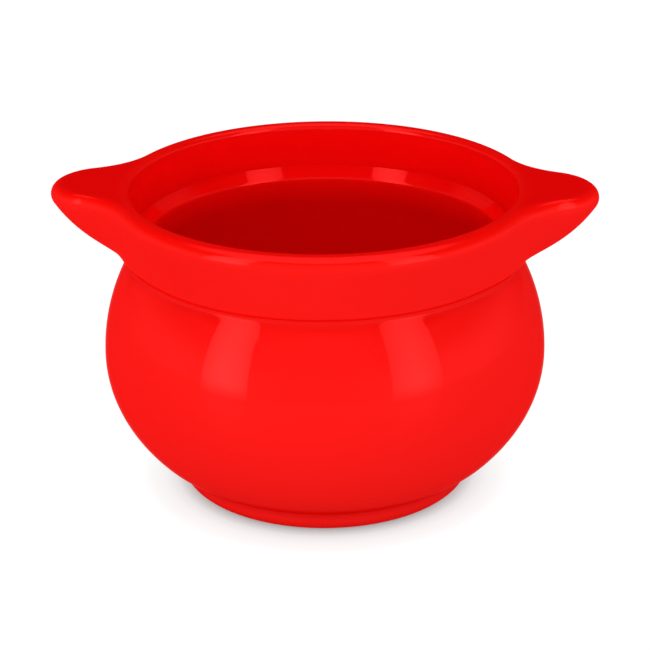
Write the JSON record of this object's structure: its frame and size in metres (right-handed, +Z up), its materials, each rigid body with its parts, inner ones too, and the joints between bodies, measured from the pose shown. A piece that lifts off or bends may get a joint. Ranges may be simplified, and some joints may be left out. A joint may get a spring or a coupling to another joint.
{
  "type": "lug-handled soup crock",
  "caption": "Round-bellied glazed ceramic soup crock on a foot ring, with a flared collar, a rounded rim and side lugs to lift it by; bakes and serves a single portion.",
  "frame": {"origin": "centre of the foot ring's bearing face, on the surface that the crock stands on", "axes": "+Z up along the crock's axis, +X through the right-hand lug as the picture shows it, +Y towards the back"},
  "size_m": [0.1466, 0.12, 0.084],
  "materials": {
    "red_glaze": "bright red glaze, high gloss"
  },
  "bodies": {
    "root": {"bowl": "red_glaze", "collar": "red_glaze", "lug_right": "red_glaze", "lug_left": "red_glaze", "foot_ring": "red_glaze"}
  },
  "joints": []
}
